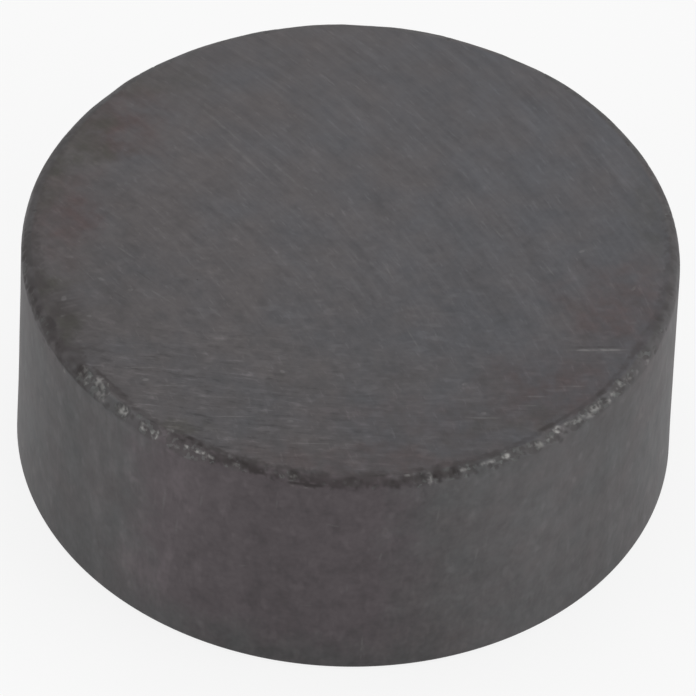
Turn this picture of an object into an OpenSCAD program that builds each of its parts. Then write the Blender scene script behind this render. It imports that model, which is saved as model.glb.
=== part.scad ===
// Disc magnet of sintered ferrite, pressed and fired in one piece.
// Both pole faces are ground flat and the side wall is left as fired.
// The upper edge is worn round and chipped along one half of the rim.
// Millimetres, +Z up. The origin is the centre of the lower pole face.

/* [Disc] */
// Diameter over the side wall
disc_d = 25; // [16:0.5:40]
// Thickness from the lower pole face to the upper one
disc_t = 10; // [6:0.5:20]

/* [Edges] */
// Radius to which the upper edge is worn
upper_edge_r = 0.4; // [0.3:0.05:0.6]
// Radius to which the lower edge is worn
lower_edge_r = 0.2; // [0.1:0.05:0.5]

/* [Ragged stretch of the upper edge] */
// Where the stretch starts, in degrees from +X
ragged_from = -75; // [-90:1:-60]
// Where it ends
ragged_to = -25; // [-45:1:-15]
// Number of nicks along it
nick_count = 13; // [5:1:18]
// Radius of the hollow that a nick leaves
nick_r = 0.45; // [0.35:0.05:0.7]
// Depth of a nick below the worn edge
nick_depth = 0.14; // [0.1:0.01:0.2]

/* [Hidden] */

disc_r = disc_d / 2;
ferrite_grey = [0.36, 0.35, 0.36];
disc_fn = 256;
edge_fn = 96;
hollow_fn = 48;

// The separate chips, going round from the left of the front to its middle.
// Each is [place in degrees from +X, radius of the hollow, depth below the
// worn edge, lean], and lean is 0 for a chip off the wall and 90 for one off
// the pole face. A hollow of large radius leaves a long, shallow chip.
CHIPS = [
    [-157.0, 1.40, 0.14, 62],
    [-143.0, 1.20, 0.22, 54],
    [-138.5, 0.70, 0.20, 58],
    [-132.5, 0.50, 0.22, 50],
    [-126.0, 0.90, 0.20, 46],
    [-118.0, 2.20, 0.28, 52],
    [-109.0, 0.80, 0.15, 52],
    [-98.5, 0.50, 0.13, 60],
    [-88.0, 0.90, 0.10, 54],
];

// How much the nicks stray from even steps and from their common size, as
// shares, and how they lean
nick_stray = 0.35;
nick_spread = 0.25;
nick_lean = 54;
nick_lean_spread = 14;

// A number from -1 to 1 that looks random but is the same every time
function scatter(i) = sin(i * 137.5) * cos(i * 61);

// Half of the disc's section: a rectangle whose outer corners are worn round
module half_section() {
    difference() {
        square([disc_r, disc_t]);
        translate([disc_r, disc_t])
            rotate(180)
                worn_corner(upper_edge_r);
        translate([disc_r, 0])
            rotate(90)
                worn_corner(lower_edge_r);
    }
}

// What wear takes off a square corner at the origin whose sides are +X and +Y
module worn_corner(r) {
    difference() {
        square(r);
        translate([r, r])
            circle(r, $fn = edge_fn);
    }
}

// The hollow of one chip: a ball of radius r whose lowest point lies at depth
// below the worn edge, on the line that leaves the edge's centre at this lean.
// Its poles lie along the rim, clear of the disc.
module chip(place, r, depth, lean) {
    reach = upper_edge_r + r - depth;
    rotate(place)
        translate([
            disc_r - upper_edge_r + reach * cos(lean),
            0,
            disc_t - upper_edge_r + reach * sin(lean)
        ])
            rotate([90, 0, 0])
                sphere(r, $fn = hollow_fn);
}

module separate_chips() {
    for (c = CHIPS)
        chip(c[0], c[1], c[2], c[3]);
}

module ragged_nicks() {
    step = (ragged_to - ragged_from) / (nick_count - 1);
    for (i = [0 : nick_count - 1])
        chip(
            ragged_from + step * (i + nick_stray * scatter(i + 3)),
            nick_r * (1 + nick_spread * scatter(i + 5)),
            nick_depth * (1 + nick_spread * scatter(i + 1)),
            nick_lean + nick_lean_spread * scatter(i + 7)
        );
}

module ferrite_disc() {
    color(ferrite_grey)
        difference() {
            rotate_extrude($fn = disc_fn)
                half_section();
            separate_chips();
            ragged_nicks();
        }
}

ferrite_disc();
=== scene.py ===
import bpy
import numpy as np
from bpy.props import FloatProperty, FloatVectorProperty, PointerProperty, StringProperty
from mathutils import Matrix, Vector


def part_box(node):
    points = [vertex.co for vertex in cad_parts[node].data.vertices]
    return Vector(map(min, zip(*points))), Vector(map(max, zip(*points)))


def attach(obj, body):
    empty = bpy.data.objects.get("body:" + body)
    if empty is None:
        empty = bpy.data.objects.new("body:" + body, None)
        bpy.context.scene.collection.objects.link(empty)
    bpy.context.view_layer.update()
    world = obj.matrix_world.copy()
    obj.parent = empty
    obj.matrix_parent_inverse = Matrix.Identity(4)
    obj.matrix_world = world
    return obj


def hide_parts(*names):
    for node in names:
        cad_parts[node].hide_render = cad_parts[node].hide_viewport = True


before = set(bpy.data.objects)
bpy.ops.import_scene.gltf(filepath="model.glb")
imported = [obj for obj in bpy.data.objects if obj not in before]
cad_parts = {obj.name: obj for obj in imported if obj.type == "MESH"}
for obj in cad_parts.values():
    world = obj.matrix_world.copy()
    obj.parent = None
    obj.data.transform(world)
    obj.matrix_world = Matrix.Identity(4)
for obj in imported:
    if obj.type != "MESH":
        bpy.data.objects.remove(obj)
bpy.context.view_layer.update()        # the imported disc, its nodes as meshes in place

bl_info = {
    "name": "Ferrite disc magnet",
    "version": (1, 0, 0),
    "blender": (4, 5, 0),
    "location": "View3D > Sidebar > Ferrite disc",
    "description": "Dresses a packed disc magnet as ground and fired ferrite and sets up a studio",
    "category": "Object",
}

# --------------------
# The disc's driving sizes. Where nothing else is said, everything here is in
# millimetres and degrees; the meshes are turned into metres once, when they are made.

MM = 0.001
NODE = "ferrite_disc"
BODY = "root"

BOX_LOW, BOX_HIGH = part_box(NODE)
DISC_R = (BOX_HIGH.x - BOX_LOW.x) / 2 / MM
DISC_T = (BOX_HIGH.z - BOX_LOW.z) / MM

# The separate chips of the upper edge, as in the disc's construction: place in
# degrees from +X, radius of the hollow, depth below the worn edge, and lean, which
# is 0 for a chip off the wall and 90 for one off the pole face.
CHIPS = [
    (-157.0, 1.40, 0.14, 62),
    (-143.0, 1.20, 0.22, 54),
    (-138.5, 0.70, 0.20, 58),
    (-132.5, 0.50, 0.22, 50),
    (-126.0, 0.90, 0.20, 46),
    (-118.0, 2.20, 0.28, 52),
    (-109.0, 0.80, 0.15, 52),
    (-98.5, 0.50, 0.13, 60),
    (-88.0, 0.90, 0.10, 54),
]

# The ragged stretch of the upper edge and its nicks, as in the construction
RAGGED_FROM, RAGGED_TO = -75.0, -25.0
NICK_COUNT, NICK_R, NICK_DEPTH = 13, 0.45, 0.14
NICK_STRAY, NICK_SPREAD = 0.35, 0.25
NICK_LEAN, NICK_LEAN_SPREAD = 54.0, 14.0

# Painted glints: highlights painted in a light colour on grains of the edge, each an
# oval: place in degrees, height up the edge as a share of its worn arc (past 1 is on the
# pole face), length along the rim, width across it, and strength
PAINTED_GLINTS = [
    (-147.7, -0.30, 0.16, 0.20, 0.20),
    (-144.2, 0.86, 0.30, 0.50, 0.34),
    (-142.6, 0.70, 0.22, 0.46, 0.36),
    (-139.8, 1.12, 0.62, 0.42, 0.42),
    (-137.9, 0.64, 0.60, 0.44, 0.36),
    (-132.5, 0.63, 0.46, 0.40, 0.78),
    (-127.2, 0.48, 0.38, 0.24, 0.75),
    (-124.9, 0.38, 0.36, 0.30, 0.80),
    (-122.3, 1.16, 0.42, 0.16, 0.24),
    (-120.5, 0.26, 0.36, 0.14, 0.38),
    (-116.8, 0.60, 0.90, 0.18, 1.00),
    (-113.9, 0.52, 0.40, 0.14, 0.60),
    (-109.0, 0.56, 0.38, 0.16, 0.34),
    (-98.4, 0.66, 0.28, 0.14, 0.40),
    (-96.5, 0.00, 0.85, 0.07, 0.26),
    (-77.6, 0.86, 0.50, 0.06, 0.34),
    (-74.5, 0.50, 0.20, 0.50, 0.38),
    (-67.9, 0.60, 0.40, 0.12, 0.50),
    (-63.5, 0.64, 0.50, 0.14, 0.50),
    (-59.8, 0.66, 0.34, 0.20, 0.85),
    (-53.7, 0.52, 0.40, 0.28, 0.66),
    (-50.6, 0.60, 0.50, 0.14, 0.30),
    (-48.7, 0.82, 0.36, 0.30, 0.86),
    (-46.6, 0.90, 0.40, 0.16, 0.40),
    (-44.4, 0.68, 0.80, 0.20, 0.40),
    (-41.6, 0.50, 0.50, 0.22, 0.34),
    (-39.5, 0.64, 0.58, 0.26, 0.58),
    (-36.7, 0.48, 0.34, 0.20, 0.40),
    (-35.1, 0.60, 0.32, 0.22, 0.50),
    (-32.1, 0.68, 0.38, 0.26, 0.44),
    (-30.0, 0.50, 0.44, 0.20, 0.28),
    (-28.0, 0.40, 0.26, 0.18, 0.26),
    (-24.3, 0.25, 0.36, 0.18, 0.20),
]

# Grime along the edge, mixed with painted shade: thin dark lines along the crease where
# the worn edge meets the pole face and round the back of the rim. In the same form.
GRIME_AND_SHADE = [
    (-174.0, 0.90, 4.20, 0.80, 0.60),
    (-166.0, 0.90, 3.40, 1.00, 0.70),
    (-160.5, 1.20, 2.00, 1.50, 0.75),
    (-155.5, 0.90, 2.20, 1.20, 0.75),
    (-150.0, 1.00, 2.60, 1.20, 0.75),
    (-151.0, 0.10, 6.00, 0.14, 0.70),
    (-145.8, 0.90, 1.30, 0.80, 0.85),
    (-139.6, 1.55, 2.40, 0.16, 0.80),
    (-136.0, 1.40, 1.60, 0.26, 0.65),
    (-128.5, 1.20, 2.00, 0.22, 0.65),
    (-121.2, 0.90, 0.90, 0.42, 1.00),
    (-118.6, 1.30, 1.90, 0.22, 0.90),
    (-114.2, 1.16, 1.80, 0.26, 0.90),
    (-110.5, 0.70, 1.30, 0.40, 0.85),
    (-105.5, 0.90, 1.90, 0.56, 0.95),
    (-104.0, 0.50, 1.60, 0.12, 0.90),
    (-99.5, 0.80, 1.80, 0.60, 0.85),
    (-98.0, 1.15, 0.80, 0.10, 1.00),
    (-95.5, 0.22, 2.10, 0.14, 0.85),
    (-92.0, 0.72, 3.20, 0.64, 0.80),
    (-85.5, 0.76, 1.80, 0.64, 0.70),
    (-82.0, 0.98, 1.90, 0.12, 1.00),
    (-80.6, 0.60, 2.60, 0.56, 0.75),
    (-76.4, 1.20, 0.90, 0.18, 1.00),
    (-72.0, 0.80, 1.50, 0.64, 0.90),
    (-68.5, 1.00, 2.20, 0.34, 0.75),
    (-62.0, 1.08, 2.60, 0.26, 0.70),
    (-56.0, 1.20, 2.20, 0.20, 0.55),
    (-49.8, 1.36, 0.80, 0.24, 1.00),
    (-46.5, 1.34, 2.20, 0.16, 0.65),
    (-41.0, 1.26, 1.80, 0.18, 0.60),
    (-37.0, 1.22, 1.00, 0.22, 0.95),
    (-31.0, 1.24, 2.60, 0.20, 0.55),
    (-23.0, 1.30, 3.00, 0.28, 0.60),
    (-8.0, 1.00, 6.50, 0.44, 0.50),
    (30.0, 0.60, 16.0, 0.34, 0.35),
    (95.0, 0.50, 26.0, 0.30, 0.40),
    (160.0, 0.80, 10.0, 0.50, 0.45),
]

# Places on the upper pole face where the ceramic is a little off its usual colour:
# middle in shares of the disc's radius, direction in degrees, length and width in
# millimetres, and strength
RUST_PATCHES = [
    (-0.74, 0.46, 0, 5.0, 4.0, 1.10),
    (-0.68, 0.63, 0, 3.75, 2.5, 0.60),
    (-0.86, 0.10, 0, 4.0, 6.0, 0.95),
    (0.80, -0.24, 0, 6.5, 7.5, 0.75),
    (0.64, -0.58, 0, 8.5, 6.0, 0.75),
    (0.10, -0.93, 0, 18.75, 3.0, 0.60),
    (0.22, -0.72, 0, 15.0, 4.0, 0.35),
]
OLIVE_PATCHES = [
    (-0.80, 0.42, 0, 4.0, 3.5, 1.00),
    (-0.93, 0.26, 0, 2.5, 5.5, 0.95),
    (-0.66, 0.70, 0, 7.5, 3.5, 0.45),
    (-0.92, -0.22, 0, 3.0, 3.0, 1.10),
    (-0.87, -0.42, 0, 2.5, 4.0, 1.20),
    (-0.50, -0.82, 0, 4.0, 2.0, 0.90),
    (0.92, 0.20, 0, 2.5, 10.0, 0.40),
    (0.50, -0.72, 0, 7.5, 2.0, 0.40),
]

# The deeper scratches of the upper pole face, in the same form. Light ones are raw, dark
# ones hold dirt.
SCRATCHES = [
    (0.762, -0.390, 4, 2.6, 0.18, 1.00),
    (0.68, -0.55, 4, 1.3, 0.12, 0.40),
    (0.42, -0.70, 3, 1.6, 0.12, 0.34),
    (0.57, -0.60, 3, 1.2, 0.12, 0.34),
    (0.55, -0.64, 3, 1.0, 0.12, 0.30),
    (-0.62, -0.55, 4, 1.7, 0.09, 0.50),
    (-0.52, -0.62, 2, 2.0, 0.08, 0.50),
    (-0.40, -0.66, 0, 1.8, 0.08, 0.50),
    (-0.33, -0.74, 3, 2.0, 0.09, 0.45),
    (-0.10, -0.84, 2, 2.2, 0.08, 0.40),
    (-0.68, -0.06, -42, 1.2, 0.12, 0.35),
    (-0.57, -0.24, -38, 1.4, 0.11, 0.32),
    (-0.40, -0.30, -46, 1.1, 0.11, 0.28),
    (-0.34, 0.38, -50, 4.2, 0.16, 0.28),
    (-0.42, 0.52, -48, 3.4, 0.16, 0.28),
    (-0.20, 0.30, -50, 3.0, 0.16, 0.24),
    (0.12, -0.10, -66, 1.2, 0.10, 0.40),
    (0.36, 0.22, -62, 1.1, 0.10, 0.36),
    (0.44, 0.10, -58, 1.4, 0.10, 0.32),
    (0.60, -0.05, -58, 1.3, 0.10, 0.32),
    (0.20, -0.38, -64, 1.4, 0.10, 0.32),
]
DIRT_SCRATCHES = [
    (-0.58, -0.50, 3, 1.6, 0.07, 0.60),
    (-0.44, -0.58, 1, 1.9, 0.07, 0.65),
    (-0.37, -0.69, 2, 1.6, 0.07, 0.60),
    (-0.70, -0.24, -38, 1.4, 0.09, 0.50),
    (-0.62, -0.16, -41, 1.6, 0.08, 0.50),
    (0.55, -0.66, 3, 2.4, 0.07, 0.50),
    (0.72, -0.44, 0, 1.5, 0.08, 0.45),
    (0.750, -0.378, 4, 2.3, 0.14, 0.90),
]

# Small light bruises of the upper pole face, in the same form
BRUISES = [
    (0.42, -0.68, 0, 0.30, 0.22, 0.80),
    (0.36, -0.56, 20, 0.30, 0.18, 0.60),
    (-0.60, -0.60, 10, 0.36, 0.20, 0.70),
    (-0.16, -0.75, 0, 0.34, 0.18, 0.60),
    (-0.19, -0.54, -30, 0.30, 0.18, 0.55),
    (-0.86, -0.27, 80, 0.40, 0.28, 0.65),
    (-0.94, -0.26, 80, 0.50, 0.22, 0.50),
    (-0.86, -0.34, 60, 0.34, 0.26, 0.55),
    (-0.92, -0.34, 70, 0.40, 0.20, 0.40),
    (-0.75, -0.18, -30, 0.44, 0.20, 0.60),
    (-0.85, -0.09, 0, 0.40, 0.20, 0.45),
    (-0.66, -0.22, 40, 0.28, 0.20, 0.55),
    (-0.78, -0.34, 0, 0.30, 0.18, 0.50),
    (0.86, -0.12, 60, 0.40, 0.16, 0.55),
    (0.70, 0.03, 30, 0.34, 0.18, 0.50),
    (0.39, -0.27, 0, 0.30, 0.20, 0.50),
]

# Upright and level rubs on the wall's front, in the same form, but with the middle in
# millimetres along X and up
WALL_RUBS = [
    (1.05, 1.15, 88, 1.70, 0.14, 0.48),
    (-2.35, 8.70, 88, 1.30, 0.12, 0.36),
    (-0.20, 7.70, -12, 0.80, 0.15, 0.32),
    (1.60, 6.00, 80, 0.70, 0.15, 0.32),
    (3.70, 8.00, 84, 1.20, 0.14, 0.28),
    (-6.60, 6.80, 86, 1.90, 0.15, 0.40),
    (-6.10, 5.60, 88, 1.20, 0.14, 0.36),
    (-5.20, 7.60, 84, 1.00, 0.15, 0.32),
    (-3.60, 4.80, 20, 0.60, 0.15, 0.32),
    (-1.10, 3.30, 4, 0.60, 0.15, 0.32),
    (0.40, 4.40, 86, 0.80, 0.15, 0.24),
    (5.20, 5.20, 84, 1.10, 0.15, 0.28),
]

# Small damage scattered over stretches of the upper edge: from, to, how many, smallest
# and largest hollow, least and greatest depth. Then its mean lean and the spread of it,
# the least and greatest lean, and the greatest depth as a share of the hollow's radius.
SCATTERED = [
    (-178.0, -100.0, 120, 0.08, 0.34, 0.02, 0.08),
    (-100.0, -76.0, 34, 0.08, 0.26, 0.02, 0.06),
    (-76.0, -20.0, 150, 0.07, 0.26, 0.03, 0.10),
    (-20.0, 182.0, 90, 0.08, 0.24, 0.015, 0.045),
]
SCATTER_LEAN, SCATTER_LIMITS = (54, 22), (8, 84)
DEEPEST = 0.4

# Small flats worn all round the upper edge: how many, and their least and greatest
# depth, lean, and turn out of the rim's direction
FLAT_COUNT = 46
FLAT_DEPTHS, FLAT_LEANS, FLAT_TURNS = (0.004, 0.035), (15, 78), (-4, 4)

# Noise in two layers: their cell sizes, the finer one's share, and the seed
WANDER = (2.6, 0.9, 0.5, 5)  # the upper edge's radius
PROUD_GRAINS = (0.16, 0.07, 0.6, 21)  # grains that stand out of broken places
SPARKLE = (0.13, 0.07, 0.7, 33)  # which parts of the painted glints show
SWELL = (3.4, 1.3, 0.5, 41)  # the fired wall
RAGGED_BORDER = (0.10, 0.26, 0.625, 31)  # the borders of the painted glints and of the grime and painted shade

# Broken places: the depth lost at which a place counts as broken, how much of the grains'
# height shows where nothing broke, how far a grain may stand proud of the worn edge, and
# the degrees over which grains fade at the band's two ends
BROKEN_FROM = 0.03
WORN_GRAIN = 0.12
PROUD = 0.002
END_FADE = 8.0

# The edge's marks: how much of an oval's half width is soft border, how far noise makes
# that ragged, the cell size and seed of the noise that makes the grime and painted shade
# thicker and thinner, and where up the edge the ground face starts and over how much of it
EDGE_FADE = 0.9
RAGGEDNESS = 0.4
SMEARS = (0.30, 35)
GROUND_FROM, GROUND_FADE = 0.9, 0.15

# The mesh: how far inside the pole face and the wall the ring lies from which the
# edge is worked out, and how many steps each stretch takes
INSET = 1.0
FINE, MIDDLE, COARSE = 1440, 720, 360
FAN_STEPS = 40
WALL_STEPS = 22
LOWER_EDGE_STEPS = 6
FACE_RINGS = (10.4, 9.0, 7.2, 5.4)
CENTRE_RINGS = (3.6, 2.4, 1.2)
TINY = 1e-9
FAR = 1e6

# Zones of the ceramic, in millimetres. Each pair is where the zone is nothing and where
# it is full; those with two pairs have one for each end.
UPPER = (4.0, 6.0)  # up: the upper pole face, not the lower one
WARM_SIDE = (16.0, -14.0)  # along X: warmer towards the left
DARK_LEFT = (-11.5, -5.0)  # along X: darker at the far left
LIGHT_BACK = (-12.0, 4.0)  # along Y: lighter towards the back
FACE_BACK = (2.0, 10.0)  # along Y: less grain at the back
FACE_FRONT = (-3.0, -8.0)  # along Y: level marks at the front
BRUISED_HALF = (5.0, -5.0)  # along Y: fine bruises in the front half
DASHED_X, DASHED_Y = (3.0, -4.0), (-3.5, -7.0)  # dashes at the front left
WALL_FRONT = (-6.0, -9.0)  # along Y
LIGHTER_FRONT = (-8.0, -9.6)  # along Y: lighter towards the front
WALL_SIDES = (4.0, 9.0)  # from the middle, either way: less grain
SHADED_FOOT = (0.0, 7.0)  # up: painted shade, darker towards the foot
STAIN = ((-7.7, -5.7), (4.4, 2.3))  # along X: the brown stain
STAIN_FOOT = (1.1, 2.8)  # up: where the stain starts
SHADED_FRONT = ((-5.8, -2.6), (7.6, 3.4))  # along X: painted shade in the middle of the front
RUBBED = ((-9.8, -8.2), (-3.8, -5.2))  # along X: rubbed lighter, left of the front

# How far noise moves borders: those of the face's patches by up to half of this to
# either side, and those of the wall's zones by up to all of this to one side
FACE_DRIFT = 5.0
WALL_DRIFT = 1.6

# Sizes of the ceramic's patterns in millimetres. Its real grain, a few thousandths
# across, is too fine to show, so GRAIN and BREAK_GRAIN are as coarse as they need to be.
GRAIN = 0.14
CLUMP = 0.32
MOTTLE = 0.34
CLOUD = 0.90
FACE_PATCH, WALL_PATCH = 1.3, 1.1  # cooler and warmer grey
GRIME_PATCH = 0.35  # thicker and thinner rust and grime
SCRATCH_BREAK, RUB_BREAK = 0.16, 0.20  # what breaks up scratches and rubs
FINE_BRUISE = 0.20
SPECK = 0.26
RUB = 0.18
LONG_RUB = 0.46
BORDER = 0.8  # the raggedness of the wall's zones
BREAK_GRAIN = 1 / 7
PIT_SPACING, PIT_WIDTH, PIT_DEPTH = 1.7, 0.16, 0.03
MARK_DEPTH = 0.006
NOISE_RANGE = (0.28, 0.72)  # noise rarely leaves this, so it is stretched to 0 to 1

# Patterns drawn out up the wall: how far each is shifted, and its scale upwards, where
# less than 1 makes it longer
DRAWN_UP = [
    ((0, 0, 0), 0.7),  # mottle, specks and clouds
    ((9.0, 4.0, 2.0), 0.3),  # rubs
    ((3.0, 8.0, 5.0), 0.45),  # long rubs
]

# Passes of the grinding wheel: its centre, the spacing and length of the coarsest marks,
# all in millimetres, and a seed. Finer marks lie between them, down to 0.1 mm apart.
WHEEL_PASSES = [
    ((-34.0, -22.0), 0.34, 3.0, 1.0),  # main
    ((-26.0, -30.0), 0.38, 2.6, 7.0),  # crossing
    ((2.0, 60.0), 0.22, 1.0, 13.0),  # front
    ((-34.0, -22.0), 0.22, 0.8, 19.0),  # short
    ((-35.0, -27.0), 0.95, 9.0, 29.0),  # broad
]

# Fired ferrite is duller than ground ferrite, and the pores between its grains take much
# of the gloss that so dense an oxide would have
FIRED_ROUGHNESS, GROUND_ROUGHNESS = 0.6, 0.5
FERRITE_IOR, FERRITE_SPECULAR = 1.5, 0.25

# The studio: how far its board lies below the disc in millimetres, and its soft lamps,
# each with its name, bearing in degrees from +X, elevation, distance and width in
# metres, and power in watts
FLOOR_GAP = 0.02
PANELS = [
    ("overhead", 90.0, 72.0, 0.50, 0.36, 0.64),
    ("left", -166.0, 24.0, 0.45, 0.30, 0.27),
    ("right", -16.0, 24.0, 0.45, 0.30, 0.66),
]
WHITE = (1, 1, 1, 1)


def scatter(number):
    """A number from -1 to 1 that looks random but is the same every time."""
    return np.sin(np.radians(number * 137.5)) * np.cos(np.radians(number * 61))


def smooth_step(value):
    """0 below 0 and 1 above 1, and 3t^2 - 2t^3 between them."""
    t = np.clip(value, 0, 1)
    return t * t * (3 - 2 * t)


def lattice_noise(points, cell, seed):
    """Smooth noise from -1 to 1 at points of shape (..., 3). Each corner of a cubic
    lattice of this cell size holds a random value, picked by a mix of its whole-number
    coordinates, and 3t^2 - 2t^3 blends the eight corners round each point."""
    values = np.random.default_rng(seed).uniform(-1, 1, 8192)
    place = points / cell
    corner = np.floor(place).astype(np.int64)
    share = place - corner
    share = share * share * (3 - 2 * share)
    total = np.zeros(points.shape[:-1])
    for dx in (0, 1):
        for dy in (0, 1):
            for dz in (0, 1):
                mixed = ((corner[..., 0] + dx) * 73856093
                         ^ (corner[..., 1] + dy) * 19349663
                         ^ (corner[..., 2] + dz) * 83492791)
                weight = (np.abs(1 - dx - share[..., 0])
                          * np.abs(1 - dy - share[..., 1])
                          * np.abs(1 - dz - share[..., 2]))
                total += values[mixed % len(values)] * weight
    return total


def layered_noise(points, coarse, fine, share, seed):
    """Lattice noise of a coarse cell size with a share of a finer one's added to it."""
    return lattice_noise(points, coarse, seed) + share * lattice_noise(points, fine, seed + 1)


# --- The worn and chipped upper edge


def edge_reach(fan, worn_r):
    """How far a ray runs from the inner ring to the worn edge. A ray at angle fan above the
    horizontal ends on the wall while it climbs less than the wall's straight part, on the
    pole face once it moves out less than the face's flat part, and otherwise on an arc of
    radius worn_r, where it solves |t d - c|^2 = worn_r^2 for the arc's centre c."""
    out, rise = np.cos(fan), np.sin(fan)
    flat = INSET - worn_r
    to_wall = INSET / np.maximum(out, TINY)
    to_face = INSET / np.maximum(rise, TINY)
    along = flat * (out + rise)
    to_arc = along + np.sqrt(np.maximum(along ** 2 - 2 * flat ** 2 + worn_r ** 2, 0))
    reach = np.where(to_face * out <= flat, to_face, to_arc)
    return np.where(to_wall * rise <= flat, to_wall, reach)


def edge_point(place, lean, distance):
    """A point at this distance from the worn edge's arc centre, in the direction of lean."""
    worn_r = bpy.context.scene.ferrite_disc.upper_edge_r / MM
    place, lean = np.radians(place), np.radians(lean)
    r = DISC_R - worn_r + distance * np.cos(lean)
    z = DISC_T - worn_r + distance * np.sin(lean)
    return np.array([r * np.cos(place), r * np.sin(place), z])


def cut_by_ball(start, rays, reach, centre, radius):
    """Ends each ray where it enters a ball, if that is sooner: with b the centre's distance
    along the ray and c the start's squared distance from the centre less the squared
    radius, the ray enters at b - sqrt(b^2 - c)."""
    offset = centre - start
    b = np.sum(rays * offset, axis=-1)
    inside = b ** 2 - np.sum(offset ** 2, axis=-1) + radius ** 2
    entry = b - np.sqrt(np.maximum(inside, 0))
    hit = (inside > 0) & (entry > 0) & (entry < reach)
    return np.where(hit, entry, reach)


def cut_by_plane(start, rays, reach, point, normal):
    """Ends each ray at a plane, if that is sooner: at n.(point - start) / n.ray. A ray that
    runs nearly along the plane stays as it is."""
    facing = np.sum(rays * normal, axis=-1)
    entry = np.sum((point - start) * normal, axis=-1) / np.maximum(facing, TINY)
    hit = (facing > 0.05) & (entry > 0) & (entry < reach)
    return np.where(hit, entry, reach)


def wear_flats(start, rays, reach, worn_r):
    """Small flats that years of knocks have left round the whole edge: planes that cut
    the worn arc at random places, each leaning a little out of the rim's direction."""
    draw = np.random.default_rng(11)
    for _ in range(FLAT_COUNT):
        place, lean = draw.uniform(-180, 180), draw.uniform(*FLAT_LEANS)
        depth, yaw = draw.uniform(*FLAT_DEPTHS), draw.uniform(*FLAT_TURNS)
        point = edge_point(place, lean, worn_r - depth)
        turn, tip = np.radians(place + yaw), np.radians(lean)
        normal = np.array([np.cos(turn) * np.cos(tip), np.sin(turn) * np.cos(tip), np.sin(tip)])
        reach = cut_by_plane(start, rays, reach, point, normal)
    return reach


def main_hollows():
    """The chips and nicks that the disc's construction also has, as (place, radius, depth,
    lean)."""
    step = (RAGGED_TO - RAGGED_FROM) / (NICK_COUNT - 1)
    nicks = [
        (
            RAGGED_FROM + step * (i + NICK_STRAY * scatter(i + 3)),
            NICK_R * (1 + NICK_SPREAD * scatter(i + 5)),
            NICK_DEPTH * (1 + NICK_SPREAD * scatter(i + 1)),
            NICK_LEAN + NICK_LEAN_SPREAD * scatter(i + 7),
        )
        for i in range(NICK_COUNT)
    ]
    return CHIPS + nicks


def scattered_hollows():
    """The fine damage between the chips, in the same form, drawn from fixed seeds."""
    hollows = []
    for seed, (low, high, count, least_r, most_r, least_d, most_d) in enumerate(SCATTERED):
        draw = np.random.default_rng(100 + seed)
        places = draw.uniform(low, high, count)
        sizes = draw.uniform(0, 1, count) ** 2
        leans = np.clip(draw.normal(*SCATTER_LEAN, count), *SCATTER_LIMITS)
        depths = draw.uniform(least_d, most_d, count)
        radii = least_r + (most_r - least_r) * sizes
        hollows += list(zip(places, radii, np.minimum(depths, radii * DEEPEST), leans))
    return hollows


def up_the_edge(fan, reach, worn_r):
    """How far up the worn edge a ray ends, as a share of its arc: 0 where the arc leaves the
    wall, 1 where it meets the pole face, and on by the same scale along both."""
    r = reach * np.cos(fan) - (INSET - worn_r)
    z = reach * np.sin(fan) - (INSET - worn_r)
    arc = worn_r * np.pi / 2
    on_arc = np.arctan2(np.maximum(z, 0), np.maximum(r, TINY)) / (np.pi / 2)
    return np.where(z < 0, z / arc, np.where(r < 0, 1 - r / arc, on_arc))


def oval_marks(ovals, turn, share, worn_r, ragged, fade):
    """How strongly a set of ovals on the edge covers each point: full within an oval and
    nothing beyond its border, which fades over this share of it and is made ragged."""
    covered = np.zeros(share.shape)
    for place, height, length, width, strength in ovals:
        gap = (np.degrees(turn) - place + 180) % 360 - 180
        along = np.radians(gap) * DISC_R / (length / 2)
        across = (share - height) * worn_r * np.pi / 2 / (width / 2)
        distance = np.hypot(along, across) + ragged
        covered = np.maximum(covered, strength * smooth_step((1 + fade / 2 - distance) / fade))
    return covered


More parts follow.
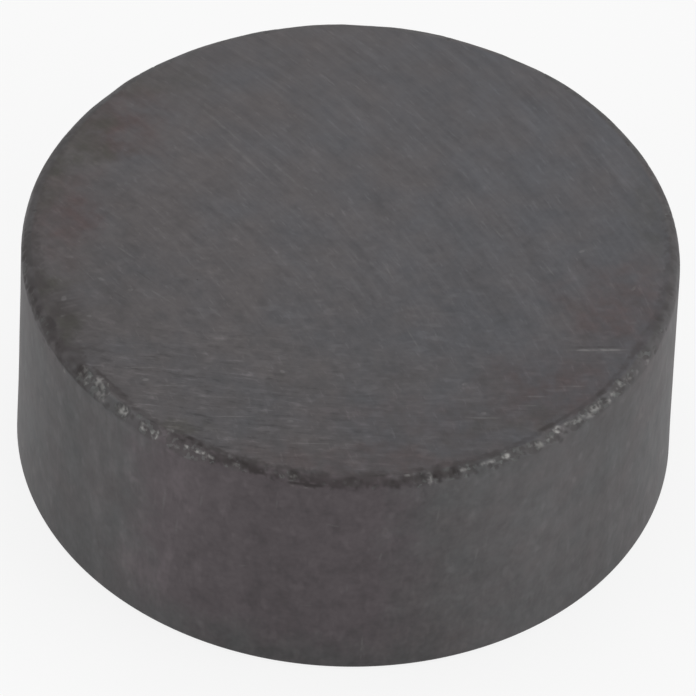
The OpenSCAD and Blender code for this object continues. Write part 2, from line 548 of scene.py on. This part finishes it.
def upper_edge():
    """The upper edge's band, from the pole face at its first ring to the wall at its last:
    rays fan out from a ring inside the edge, and each ends at the nearest of the worn
    profile, the flats, the chips and the fine damage. Where a chip has cut it, grains of
    the broken ceramic stand out from it. Returns the rings of points and, for each point,
    how ground and broken it is, how much painted glint it has, and how much grime and
    painted shade."""
    sizes = bpy.context.scene.ferrite_disc
    worn_r = sizes.upper_edge_r / MM
    turn = np.linspace(-np.pi, np.pi, FINE, endpoint=False)[None, :]
    fan = np.radians(np.linspace(90, 0, FAN_STEPS + 1))[:, None]
    ray_r, ray_z = np.cos(fan) + 0 * turn, np.sin(fan) + 0 * turn
    rays = np.stack([ray_r * np.cos(turn), ray_r * np.sin(turn), ray_z], axis=-1)
    ring = DISC_R - INSET
    start = np.stack([ring * np.cos(turn), ring * np.sin(turn), 0 * turn + DISC_T - INSET], axis=-1)

    wander = layered_noise(start * [1, 1, 0], *WANDER)
    whole = edge_reach(fan, worn_r * (1 + sizes.edge_wander * wander))
    worn = wear_flats(start, rays, whole, worn_r)

    cut = worn
    for place, radius, depth, lean in main_hollows() + scattered_hollows():
        centre = edge_point(place, lean, worn_r + radius - depth)
        cut = cut_by_ball(start, rays, cut, centre, radius)
    lost = worn - cut
    broken = smooth_step(lost / BROKEN_FROM)

    points = start + rays * cut[..., None]
    grains = layered_noise(points, *PROUD_GRAINS)
    bumps = sizes.grain_height / MM * (broken * grains + WORN_GRAIN * (1 - broken) * grains)
    at_ends = smooth_step(np.minimum(np.degrees(fan), 90 - np.degrees(fan)) / END_FADE)
    points = start + rays * (cut + np.minimum(bumps, lost + PROUD) * at_ends)[..., None]

    share = up_the_edge(fan, whole, worn_r)
    ragged = RAGGEDNESS * layered_noise(points, *RAGGED_BORDER)
    return points, {
        "ground": smooth_step((share - GROUND_FROM) / GROUND_FADE) * (1 - broken),
        "broken": broken,
        # painted highlights: glints on grains of the edge
        "painted_glint": (oval_marks(PAINTED_GLINTS, turn, share, worn_r, ragged, EDGE_FADE)
                  * smooth_step(0.5 + 0.8 * layered_noise(points, *SPARKLE))),
        # grime mixed with painted shade along the edge's crease and back
        "grime_and_shade": (oval_marks(GRIME_AND_SHADE, turn, share, worn_r, ragged, EDGE_FADE)
                  * smooth_step(0.75 + 0.7 * lattice_noise(points, *SMEARS))),
    }


# --- Meshes


def ring_of(radius, height, count):
    """A circle of points at this radius and height, starting at -X and going anticlockwise."""
    turn = np.linspace(-np.pi, np.pi, count, endpoint=False)
    return np.stack([radius * np.cos(turn), radius * np.sin(turn), height + 0 * turn], axis=-1)


def ring_faces(first, second, count, following):
    """The faces between two rings that start at these vertices and have this many points,
    the first ring nearer the upper face's middle: a fan of triangles from a ring of one
    point, quads between rings of the same count, and where one ring has twice as many
    points, three triangles for each step of the coarser ring."""
    if count > following:
        return ring_faces(second, first, following, count)[:, ::-1]
    here = np.arange(following if count == 1 else count)
    after = (here + 1) % len(here)
    if count == 1:
        corners = [(first + 0 * here, second + here, second + after)]
    elif count == following:
        corners = [(first + here, second + here, second + after, first + after)]
    else:
        a, b = first + here, first + after
        left, half, right = second + 2 * here, second + 2 * here + 1, second + 2 * after
        corners = [(a, left, half), (a, half, b), (b, half, right)]
    return np.concatenate([np.stack(face, axis=-1) for face in corners])


def wall_rings():
    """The side wall below the chipped band: a cylinder that lies in by up to a few
    hundredths of a millimetre, as pressed and fired ware does, and by nothing at its two
    ends. Its noise runs from -1.5 to 1.5, and less 1.5 it never passes the radius."""
    sizes = bpy.context.scene.ferrite_disc
    low, high = sizes.lower_edge_r / MM, DISC_T - INSET
    rings = []
    for share in np.linspace(1, 0, WALL_STEPS + 1)[1:]:
        ring = ring_of(DISC_R, low + (high - low) * share, MIDDLE)
        swell = layered_noise(ring, *SWELL) - 1.5
        ends = smooth_step(4 * share) * smooth_step(4 * (1 - share))
        ring[:, :2] *= (1 + sizes.wall_wave / MM * swell * ends / DISC_R)[:, None]
        rings.append(ring)
    return rings


def lower_edge_rings():
    """The lower edge: a quarter circle from the wall to the lower pole face."""
    worn_r = bpy.context.scene.ferrite_disc.lower_edge_r / MM
    down = np.linspace(0, np.pi / 2, LOWER_EDGE_STEPS + 1)[1:]
    return [
        ring_of(DISC_R - worn_r + worn_r * np.cos(a), worn_r - worn_r * np.sin(a), MIDDLE)
        for a in down
    ]


def pole_face_rings(height):
    """A ground pole face, from its border in to its middle, which is a ring of one point.
    Each ring comes with its marks."""
    steps = [(r, MIDDLE) for r in FACE_RINGS] + [(r, COARSE) for r in CENTRE_RINGS] + [(0, 1)]
    return [(ring_of(r, height, count), {"ground": 1.0}) for r, count in steps]


def disc_surface():
    """The whole closed surface: rings from the middle of the upper pole face out over the
    chipped edge, down the wall, round the lower edge and in to the middle of the lower
    face, each joined to the next. Returns the points, the faces and each mark's value at
    every point."""
    edge, edge_marks = upper_edge()
    rings = pole_face_rings(DISC_T)[::-1]
    for row, ring in enumerate(edge):
        rings.append((ring, {name: values[row] for name, values in edge_marks.items()}))
    rings += [(ring, {}) for ring in wall_rings() + lower_edge_rings()]
    rings += pole_face_rings(0)

    starts = np.cumsum([0] + [len(ring) for ring, _ in rings])
    faces = []
    for here, after, (ring, _), (following, _) in zip(starts, starts[1:], rings, rings[1:]):
        faces += ring_faces(here, after, len(ring), len(following)).tolist()
    marks = {
        name: np.concatenate([np.full(len(ring), own.get(name, 0.0)) for ring, own in rings])
        for name in edge_marks
    }
    return np.concatenate([ring for ring, _ in rings]), faces, marks


def new_piece(name, points, faces, marks=None):
    """Makes a mesh object from points in millimetres, with one number per point for each
    mark. The object sits at the origin, so its place is in its mesh."""
    mesh = bpy.data.meshes.new(name)
    mesh.from_pydata((np.asarray(points) * MM).tolist(), [], faces)
    for mark, values in (marks or {}).items():
        layer = mesh.attributes.new(mark, "FLOAT", "POINT")
        layer.data.foreach_set("value", np.asarray(values, dtype=np.float32))
    mesh.validate()
    mesh.shade_smooth()
    piece = bpy.data.objects.new(name, mesh)
    bpy.context.scene.collection.objects.link(piece)
    return piece


# --- Materials


def linear(code):
    """An sRGB hex colour as linear red, green, blue and full alpha."""
    parts = np.array([int(code[i:i + 2], 16) for i in (1, 3, 5)]) / 255
    low, high = parts / 12.92, ((parts + 0.055) / 1.055) ** 2.4
    return (*np.where(parts <= 0.04045, low, high).tolist(), 1.0)


def new_material(name):
    """An empty node material."""
    material = bpy.data.materials.new(name)
    material.use_nodes = True
    material.node_tree.nodes.clear()
    return material


def add_node(tree, kind, inputs=None, **settings):
    """Adds a shader node of this kind and returns its outputs. inputs holds, by each
    socket's name or number, a plain value or another node's output."""
    made = tree.nodes.new("ShaderNode" + kind)
    for name, value in settings.items():
        setattr(made, name, value)
    for key, value in (inputs or {}).items():
        if isinstance(value, bpy.types.NodeSocket):
            tree.links.new(value, made.inputs[key])
        else:
            made.inputs[key].default_value = value
    return made.outputs


def combined(tree, operation, values):
    """Several values made one at each point by this operation, two at a time."""
    result = values[0]
    for value in values[1:]:
        result = add_node(tree, "Math", {0: result, 1: value}, operation=operation)[0]
    return result


def product(tree, shares):
    """The product of several shares at each point."""
    return combined(tree, "MULTIPLY", shares)


def plus(tree, total, parts):
    """A total to which each (pattern, strength) pair adds its pattern times its strength."""
    for pattern, strength in parts:
        total = add_node(tree, "Math", {
            0: pattern, 1: strength, 2: total}, operation="MULTIPLY_ADD")[0]
    return total


def tone_of(tree, parts):
    """1 plus, for each (pattern, strength) pair, the strength times how far the pattern is
    from its middle of 0.5."""
    return plus(tree, 1 - sum(strength for _, strength in parts) / 2, parts)


def painted(tree, colour, coats):
    """A colour with each (share, coat) pair laid over it in turn, in full where share is 1."""
    for share, coat in coats:
        colour = add_node(tree, "Mix", {0: share, 6: colour, 7: coat}, data_type="RGBA")[2]
    return colour


def where(tree, *bounds):
    """The share, from 0 to 1, to which several bounds hold at once. Each is (value, nothing,
    full): it rises evenly from 0 where the value is at nothing to 1 where it is at full,
    and the bounds' shares are multiplied."""
    return product(tree, [
        add_node(tree, "MapRange", {0: value, 1: nothing, 2: full})[0]
        for value, nothing, full in bounds
    ])


def soft_noise(tree, place, size, detail):
    """Cloudy noise from 0 to 1 with features of about this size in millimetres."""
    noise = add_node(tree, "TexNoise", {
        "Vector": place, "Scale": 0.5 / size, "Detail": detail, "Roughness": 0.6})[0]
    return where(tree, (noise, *NOISE_RANGE))


def grinding_marks(tree, mm, centre, spacing, length, seed):
    """One pass of the grinding wheel: arcs round a far centre. The distance from the centre
    over the spacing runs across the marks, and the bearing times the centre's distance
    over the length runs along them, and noise in those two gives marks that start, fade
    and stop. From 0 to 1."""
    away = add_node(tree, "VectorMath", {0: mm, 1: (*centre, 0)}, operation="SUBTRACT")[0]
    x, y, _ = add_node(tree, "SeparateXYZ", {0: away})
    flat = add_node(tree, "CombineXYZ", {0: x, 1: y})[0]
    radius = add_node(tree, "VectorMath", {0: flat}, operation="LENGTH")["Value"]
    bearing = add_node(tree, "Math", {0: y, 1: x}, operation="ARCTAN2")[0]
    across = add_node(tree, "Math", {0: radius, 1: spacing}, operation="DIVIDE")[0]
    along = product(tree, [bearing, float(np.hypot(*centre)) / length])
    place = add_node(tree, "CombineXYZ", {0: across, 1: along, 2: seed})[0]
    noise = add_node(tree, "TexNoise", {
        "Vector": place, "Scale": 1.0, "Detail": 3.0, "Roughness": 0.62})[0]
    return where(tree, (noise, *NOISE_RANGE))


def with_marks(tree, colour, place, lists, unit, fade, mask):
    """A colour with lists of ovals laid over it, each list in its own paint and only to the
    mask's share. An oval has its middle in this unit, direction, length, width and
    strength, and fades out over this share of its half width. The place is turned so that
    X runs along the oval, and is measured in half widths, so that the border lies where
    the two together reach 1. Where ovals overlap, the strongest holds."""
    for ovals, paint in lists:
        parts = []
        for x, y, direction, length, width, strength in ovals:
            own = add_node(tree, "Mapping", {
                "Vector": place, "Location": (x * unit, y * unit, 0),
                "Rotation": (0, 0, np.radians(direction)),
                "Scale": (length / 2, width / 2, FAR)}, vector_type="TEXTURE")[0]
            distance = add_node(tree, "VectorMath", {0: own}, operation="LENGTH")["Value"]
            inside = add_node(tree, "MapRange", {
                0: distance, 1: 1 - fade, 2: 1.0, 3: 1.0, 4: 0.0},
                interpolation_type="SMOOTHSTEP")[0]
            parts.append(product(tree, [inside, strength]))
        share = product(tree, [combined(tree, "MAXIMUM", parts), mask])
        colour = painted(tree, colour, [(share, linear(paint))])
    return colour


def open_pits(tree, mm):
    """Pits that the firing left open: each cell of the ceramic holds one, of a random width
    up to the widest, and few of them lie near enough to the surface to show."""
    cells = add_node(tree, "TexVoronoi", {"Vector": mm, "Scale": 1 / PIT_SPACING})
    width = add_node(tree, "SeparateColor", {0: cells["Color"]})[0]
    widest = PIT_WIDTH / PIT_SPACING / 2
    depth = add_node(tree, "Math", {
        0: product(tree, [width, widest]), 1: cells["Distance"]}, operation="SUBTRACT")[0]
    return add_node(tree, "MapRange", {
        0: depth, 2: widest / 2}, interpolation_type="SMOOTHSTEP")[0]


def ground_face(tree, mm, colours):
    """The ground pole faces: soft patches of a cooler and a warmer grey, five passes of the
    wheel, which run level at the front, and the grain of the ceramic between the marks.
    The upper face alone has rust and olive grime towards the rim, small bruises and
    deeper scratches. Returns the colour and the relief."""
    x, y, z = add_node(tree, "SeparateXYZ", {0: mm})
    upper = (z, *UPPER)
    drift = add_node(tree, "TexNoise", {"Vector": mm, "Scale": 0.6, "Detail": 5.0})["Color"]
    drift = add_node(tree, "VectorMath", {0: drift, 1: (0.5,) * 3}, operation="SUBTRACT")[0]
    ragged = add_node(tree, "VectorMath", {
        0: drift, 1: (FACE_DRIFT, FACE_DRIFT, 0), 2: mm}, operation="MULTIPLY_ADD")[0]
    warm = plus(tree, where(tree, (x, *WARM_SIDE)), [(soft_noise(tree, mm, FACE_PATCH, 3.0), 0.8)])
    colour = painted(tree, linear(colours.ground_cool), [
        (where(tree, (warm, 0.5, 1.3)), linear(colours.ground_warm))])
    cloudy = where(tree, (soft_noise(tree, mm, GRIME_PATCH, 3.0), -0.2, 0.8), upper)
    colour = with_marks(tree, colour, ragged, [
        (RUST_PATCHES, colours.rust), (OLIVE_PATCHES, colours.olive)], DISC_R, 0.9, cloudy)

    main, crossing, front, short, broad = (
        grinding_marks(tree, mm, *wheel_pass) for wheel_pass in WHEEL_PASSES)
    at_front = where(tree, (y, *FACE_FRONT))
    main = add_node(tree, "Mix", {0: at_front, 2: main, 3: front})[0]
    broad = add_node(tree, "Mix", {0: at_front, 2: broad, 3: 0.5})[0]
    smoother = product(tree, [where(tree, (y, *FACE_BACK)), 0.6])
    grain = add_node(tree, "Mix", {0: smoother, 2: soft_noise(tree, mm, GRAIN, 2.0), 3: 0.5})[0]
    dashed = (x, *DASHED_X), (y, *DASHED_Y)
    tone = tone_of(tree, [
        (main, 0.18),
        (crossing, 0.10),
        (broad, 0.15),
        (where(tree, *dashed, (front, 0.66, 0.95)), 0.34),
        (where(tree, *dashed, (front, 0.34, 0.08)), -0.26),
        (where(tree, (main, 0.72, 0.95)), 0.08),
        (where(tree, (short, 0.70, 1.0)), 0.24),
        (grain, 0.14),
        (soft_noise(tree, mm, CLUMP, 2.0), 0.14),
        (soft_noise(tree, mm, CLOUD, 2.0), 0.10),
        (where(tree, (y, *LIGHT_BACK)), 0.20),
        (where(tree, (x, *DARK_LEFT)), 0.06),
    ])
    streaky = add_node(tree, "Mapping", {
        "Vector": mm, "Location": (5.0, 2.0, 9.0), "Rotation": (0, 0, np.radians(28)),
        "Scale": (0.5, 1.0, 1.0)})[0]
    bruises = soft_noise(tree, streaky, FINE_BRUISE, 1.0)
    tone = plus(tree, tone, [(where(tree, (bruises, 0.70, 0.95), (y, *BRUISED_HALF), upper), 0.17)])
    colour = add_node(tree, "VectorMath", {0: colour, "Scale": tone}, operation="SCALE")[0]

    broken_up = add_node(tree, "MapRange", {
        0: soft_noise(tree, mm, SCRATCH_BREAK, 2.0), 1: 0.30, 2: 0.60, 3: 0.40, 4: 1.0})[0]
    broken_up = product(tree, [broken_up, where(tree, upper)])
    colour = with_marks(tree, colour, mm, [
        (SCRATCHES + BRUISES, colours.raw_scratch), (DIRT_SCRATCHES, colours.dirt)],
        DISC_R, 0.6, broken_up)
    return colour, tone_of(tree, [(main, 1.0), (crossing, 0.8)])


def fired_wall(tree, mm, colours):
    """The side wall as it came from the kiln: soft patches, a mottle drawn out a little up
    the wall by the press, fine grain and faint rubs, and painted shade that makes it a
    little darker towards the foot. The front is lighter, with a brown stain, painted shade
    in its middle, and lighter places where it was rubbed. Returns the colour and the relief."""
    x, y, z = add_node(tree, "SeparateXYZ", {0: mm})
    drift = soft_noise(tree, mm, BORDER, 3.0)
    along, up = (plus(tree, axis, [(drift, WALL_DRIFT)]) for axis in (x, z))
    front = (y, *WALL_FRONT)
    stained = where(tree, front, *((along, *end) for end in STAIN), (up, *STAIN_FOOT))
    colour = painted(tree, linear(colours.fired_cool), [
        (soft_noise(tree, mm, WALL_PATCH, 3.0), linear(colours.fired_warm)),
        (stained, linear(colours.stain)),
    ])

    drawn_out, rubs, long_rubs = (
        add_node(tree, "Mapping", {"Vector": mm, "Location": shift, "Scale": (1, 1, rise)})[0]
        for shift, rise in DRAWN_UP)
    aside = add_node(tree, "Math", {0: x}, operation="ABSOLUTE")[0]
    smoother = product(tree, [where(tree, (aside, *WALL_SIDES)), 0.6])
    grain = add_node(tree, "Mix", {0: smoother, 2: soft_noise(tree, mm, GRAIN, 1.0), 3: 0.5})[0]
    mottle = soft_noise(tree, drawn_out, MOTTLE, 2.0)
    tone = tone_of(tree, [
        (grain, 0.14),
        (mottle, 0.26),
        (where(tree, (soft_noise(tree, drawn_out, SPECK, 1.0), 0.70, 1.0)), 0.16),
        (soft_noise(tree, drawn_out, CLOUD, 2.0), 0.10),
        (where(tree, (soft_noise(tree, rubs, RUB, 2.0), 0.72, 1.0)), 0.10),
        # painted shade towards the foot
        (where(tree, (z, *SHADED_FOOT)), 0.08),
    ])
    tone = plus(tree, tone, [
        (where(tree, (y, *LIGHTER_FRONT)), 0.15),
        # painted shade in the middle of the front
        (where(tree, front, *((along, *end) for end in SHADED_FRONT)), -0.18),
        (where(tree, front, *((along, *end) for end in RUBBED),
               (soft_noise(tree, long_rubs, LONG_RUB, 3.0), 0.45, 0.95)), 0.36),
    ])
    colour = add_node(tree, "VectorMath", {0: colour, "Scale": tone}, operation="SCALE")[0]

    upright = add_node(tree, "CombineXYZ", {0: x, 1: z})[0]
    broken_up = where(tree, (soft_noise(tree, mm, RUB_BREAK, 2.0), 0.1, 0.6), front)
    colour = with_marks(tree, colour, upright, [
        (WALL_RUBS, colours.raw_scratch)], 1, 0.8, broken_up)
    return colour, tone_of(tree, [(grain, 1.0), (mottle, 1.0)])


def broken_ceramic(tree, mm, colours):
    """Where a chip has left: grains of a seventh of a millimetre, most of them dull and a
    few light."""
    grains = add_node(tree, "TexVoronoi", {"Vector": mm, "Scale": 1 / BREAK_GRAIN})
    grain = add_node(tree, "SeparateColor", {0: grains["Color"]})[0]
    return painted(tree, linear(colours.break_dark), [
        (where(tree, (grain, 0.65, 1.0)), linear(colours.break_light))])


def ferrite():
    """Sintered strontium ferrite, a hard dark ceramic: pressed and fired, with its pole
    faces ground flat by a diamond wheel. To the eye it is a flat, neutral, slightly warm
    dark grey with a dull sheen. The ground face shows fine crossing marks, the fired wall
    a soft mottle, the worn edge holds grime from handling mixed with painted shade along
    its crease and back, the open pits hold painted shade, and broken places are grainy,
    with painted glints, highlights painted on a few grains."""
    colours = bpy.context.scene.ferrite_colours
    material = new_material("Sintered ferrite, ground and as fired")
    tree = material.node_tree
    place = add_node(tree, "TexCoord")["Object"]
    mm = add_node(tree, "VectorMath", {0: place, "Scale": 1 / MM}, operation="SCALE")[0]
    ground, broken, painted_glint, grime_and_shade = (
        add_node(tree, "Attribute", attribute_name=name)["Fac"]
        for name in ("ground", "broken", "painted_glint", "grime_and_shade"))

    face, face_relief = ground_face(tree, mm, colours)
    wall, wall_relief = fired_wall(tree, mm, colours)
    pit = open_pits(tree, mm)
    skin = painted(tree, wall, [
        (ground, face),
        # painted shade at the bottom of the open pits
        (pit, linear(colours.pit)),
        (product(tree, [broken, 0.6]), broken_ceramic(tree, mm, colours)),
        # grime, with painted shade along the edge's crease and back
        (grime_and_shade, linear(colours.grime_and_shade)),
        # painted highlights: glints on grains of the edge
        (painted_glint, linear(colours.glint)),
    ])

    relief = add_node(tree, "Mix", {0: ground, 2: wall_relief, 3: face_relief})[0]
    surface = add_node(tree, "Bump", {"Height": relief, "Distance": MARK_DEPTH * MM})[0]
    surface = add_node(tree, "Bump", {
        "Height": pit, "Distance": PIT_DEPTH * MM, "Normal": surface}, invert=True)[0]
    roughness = add_node(tree, "Mix", {0: ground, 2: FIRED_ROUGHNESS, 3: GROUND_ROUGHNESS})[0]
    shader = add_node(tree, "BsdfPrincipled", {
        "Base Color": skin, "Roughness": roughness, "Normal": surface, "IOR": FERRITE_IOR,
        "Specular IOR Level": FERRITE_SPECULAR})[0]
    add_node(tree, "OutputMaterial", {"Surface": shader})
    return material


def seen_directly(tree):
    """1 for what the camera sees, straight or through gloss or glass, and 0 for light."""
    path = add_node(tree, "LightPath")
    return combined(tree, "MAXIMUM", [
        path["Is Camera Ray"], path["Is Glossy Ray"], path["Is Transmission Ray"]])


def studio_floor(colour, whiteness):
    """Matt white studio board: an even white that only takes the soft shadow of what
    stands on it. Part of what is seen of it is plain white, and the rest is lit."""
    material = new_material("Matt studio board")
    tree = material.node_tree
    board = add_node(tree, "BsdfDiffuse", {"Color": linear(colour)})[0]
    white = add_node(tree, "Emission", {"Color": WHITE})[0]
    share = product(tree, [seen_directly(tree), whiteness])
    mixed = add_node(tree, "MixShader", {0: share, 1: board, 2: white})[0]
    add_node(tree, "OutputMaterial", {"Surface": mixed})
    return material


# --- The studio


def make_sky(strength):
    """Even light from all sides, which shows as plain white behind the floor."""
    world = bpy.data.worlds.new("Studio tent")
    world.use_nodes = True
    tree = world.node_tree
    tree.nodes.clear()
    shown = add_node(tree, "Mix", {0: seen_directly(tree), 2: strength, 3: 1.0})[0]
    sky = add_node(tree, "Background", {"Color": WHITE, "Strength": shown})[0]
    add_node(tree, "OutputWorld", {"Surface": sky})
    bpy.context.scene.world = world


def make_panel(name, bearing, elevation, distance, width, power):
    """A square soft lamp that faces the middle of the disc."""
    lamp = bpy.data.lights.new(name, "AREA")
    lamp.shape = "SQUARE"
    lamp.size = width
    lamp.energy = power
    turn, climb = np.radians(bearing), np.radians(elevation)
    away = Vector((np.cos(turn) * np.cos(climb), np.sin(turn) * np.cos(climb), np.sin(climb)))
    holder = bpy.data.objects.new(name, lamp)
    holder.location = away * distance
    holder.rotation_euler = away.to_track_quat("Z", "Y").to_euler()
    bpy.context.scene.collection.objects.link(holder)


def make_camera(studio):
    """A long lens in front of the disc, raised by its elevation and rolled a little."""
    lens = bpy.data.cameras.new("camera")
    lens.lens = studio.lens
    lens.clip_start, lens.clip_end = 0.01, 10.0
    climb, roll = studio.elevation, studio.roll
    back = Vector((0, -np.cos(climb), np.sin(climb)))
    up = Vector((0, np.sin(climb), np.cos(climb)))
    right = Vector((1, 0, 0))
    middle = Vector((0, 0, DISC_T * MM / 2))
    look_at = middle + right * studio.aim[0] + up * studio.aim[1]
    spot = middle + back * studio.distance
    back = (spot - look_at).normalized()
    right = up.cross(back).normalized()
    up = back.cross(right)
    leaning_right = right * np.cos(roll) + up * np.sin(roll)
    leaning_up = up * np.cos(roll) - right * np.sin(roll)
    camera = bpy.data.objects.new("camera", lens)
    camera.matrix_world = Matrix.Translation(spot) @ Matrix(
        (leaning_right, leaning_up, back)).transposed().to_4x4()
    bpy.context.scene.collection.objects.link(camera)
    bpy.context.scene.camera = camera


# --- What a user may change


def metres(name, description, default):
    """A length that a user may change, in metres."""
    return FloatProperty(name=name, description=description, default=default, precision=6,
                         unit="LENGTH", subtype="DISTANCE")


def hex_colour(name, description, default):
    """A colour that a user may change, as an sRGB hex value."""
    return StringProperty(name=name, description=description, default=default)


class FerriteDiscSizes(bpy.types.PropertyGroup):
    """Wear of the disc. Its diameter and thickness come from the frame."""

    upper_edge_r: metres("Upper edge", "Radius to which the upper edge is worn", 0.4 * MM)
    lower_edge_r: metres("Lower edge", "Radius to which the lower edge is worn", 0.2 * MM)
    edge_wander: FloatProperty(
        name="Uneven wear", description="About how far the upper edge's radius strays",
        default=0.16, min=0.0, max=0.4, subtype="FACTOR")
    grain_height: metres("Grain", "About how far grains stand out of a broken place", 0.016 * MM)
    wall_wave: metres(
        "Wall wave", "A third of how far the fired wall may lie inside a cylinder", 0.008 * MM)


class FerriteColours(bpy.types.PropertyGroup):
    """Colours of the ferrite, and of the shade and highlights painted on it, as sRGB hex values."""

    ground_cool: hex_colour("Ground, cool", "Ground face", "#59595d")
    ground_warm: hex_colour("Ground, warm", "Its warm patches", "#5d595a")
    rust: hex_colour("Rust", "Reddish patches of the face", "#554848")
    olive: hex_colour("Olive", "Olive grime on the face", "#474540")
    raw_scratch: hex_colour("Raw scratch", "Light scratches", "#747272")
    dirt: hex_colour("Dirt", "Dirt in the dark scratches", "#403d3e")
    fired_cool: hex_colour("Fired, cool", "Side wall", "#5a5a5b")
    fired_warm: hex_colour("Fired, warm", "Its warm patches", "#5d595a")
    stain: hex_colour("Stain", "Brown stain on the wall", "#5f585b")
    # the grime's colour also paints the shade along the edge's crease and back
    grime_and_shade: hex_colour("Grime", "Grime on the edge", "#322d2d")
    # the colour of the painted shade in the open pits
    pit: hex_colour("Pits", "Bottom of the open pits", "#454244")
    break_dark: hex_colour("Break, dull", "Dull grains", "#4c4949")
    break_light: hex_colour("Break, light", "Light grains", "#707371")
    # the colour of the painted glints, highlights on grains of the edge
    glint: hex_colour("Glint", "Freshly broken grains", "#b6b5b2")


class FerriteStudio(bpy.types.PropertyGroup):
    """The camera's place and the light."""

    elevation: FloatProperty(
        name="Elevation", description="Angle of the camera above the horizon",
        default=np.radians(44.9), subtype="ANGLE")
    roll: FloatProperty(
        name="Roll", description="How far the camera leans to its left",
        default=np.radians(2.5), subtype="ANGLE")
    distance: metres("Distance", "From the camera to the disc's middle", 0.6)
    lens: FloatProperty(
        name="Lens", description="Focal length", default=814.0, subtype="DISTANCE_CAMERA")
    aim: FloatVectorProperty(
        name="Aim", description="How far right of and above the disc's middle the camera aims",
        size=2, default=(0.05 * MM, -0.24 * MM), precision=5, unit="LENGTH", subtype="XYZ")
    floor_colour: hex_colour("Floor", "Studio board", "#f2f2f2")
    floor_white: FloatProperty(
        name="Plain white", description="How much of the floor is seen as plain white",
        default=0.85, min=0.0, max=1.0, subtype="FACTOR")
    ambient: FloatProperty(
        name="Ambient", description="Strength of the even light from all sides", default=0.38)
    board_size: metres("Board", "Width of the studio board", 2.4)


# --- Operators


class FERRITE_OT_disc(bpy.types.Operator):
    """Makes the ground, worn and chipped ferrite disc in place of the plain solid"""

    bl_idname = "ferrite.disc"
    bl_label = "Make the disc"

    def execute(self, context):
        points, faces, marks = disc_surface()
        disc = new_piece("ground_ferrite_disc", points, faces, marks)
        disc.data.materials.append(ferrite())
        if len(disc.data.vertices) != len(points):
            raise RuntimeError("the disc's surface lost points")
        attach(disc, BODY)
        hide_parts(NODE)
        return {"FINISHED"}


class FERRITE_OT_studio(bpy.types.Operator):
    """Sets up the floor, the light and the camera"""

    bl_idname = "ferrite.studio"
    bl_label = "Make the studio"

    def execute(self, context):
        studio = context.scene.ferrite_studio
        half = studio.board_size / 2 / MM
        corners = [(x, y, -FLOOR_GAP) for x, y in
                   ((-half, -half), (half, -half), (half, half), (-half, half))]
        board = new_piece("studio_board", corners, [(0, 1, 2, 3)])
        board.data.materials.append(studio_floor(studio.floor_colour, studio.floor_white))
        make_sky(studio.ambient)
        for panel in PANELS:
            make_panel(*panel)
        make_camera(studio)
        context.scene.view_settings.view_transform = "Standard"
        return {"FINISHED"}


class FERRITE_PT_panel(bpy.types.Panel):
    """Sizes, colours and steps of the ferrite disc"""

    bl_idname = "FERRITE_PT_panel"
    bl_label = "Ferrite disc"
    bl_space_type = "VIEW_3D"
    bl_region_type = "UI"
    bl_category = "Ferrite disc"

    def draw(self, context):
        for group in (context.scene.ferrite_disc, context.scene.ferrite_colours,
                      context.scene.ferrite_studio):
            box = self.layout.box()
            for name in group.__annotations__:
                box.prop(group, name)
        for step in OPERATORS:
            self.layout.operator(step.bl_idname)


GROUPS = {
    "ferrite_disc": FerriteDiscSizes,
    "ferrite_colours": FerriteColours,
    "ferrite_studio": FerriteStudio,
}
OPERATORS = [FERRITE_OT_disc, FERRITE_OT_studio]


def register():
    for name, group in GROUPS.items():
        bpy.utils.register_class(group)
        setattr(bpy.types.Scene, name, PointerProperty(type=group))
    for kind in OPERATORS + [FERRITE_PT_panel]:
        bpy.utils.register_class(kind)


def unregister():
    for kind in [FERRITE_PT_panel] + OPERATORS[::-1]:
        bpy.utils.unregister_class(kind)
    for name, group in reversed(GROUPS.items()):
        delattr(bpy.types.Scene, name)
        bpy.utils.unregister_class(group)


def main():
    """Makes the disc and the studio."""
    register()
    bpy.ops.ferrite.disc()
    bpy.ops.ferrite.studio()
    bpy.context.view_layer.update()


if __name__ == "__main__":
    main()
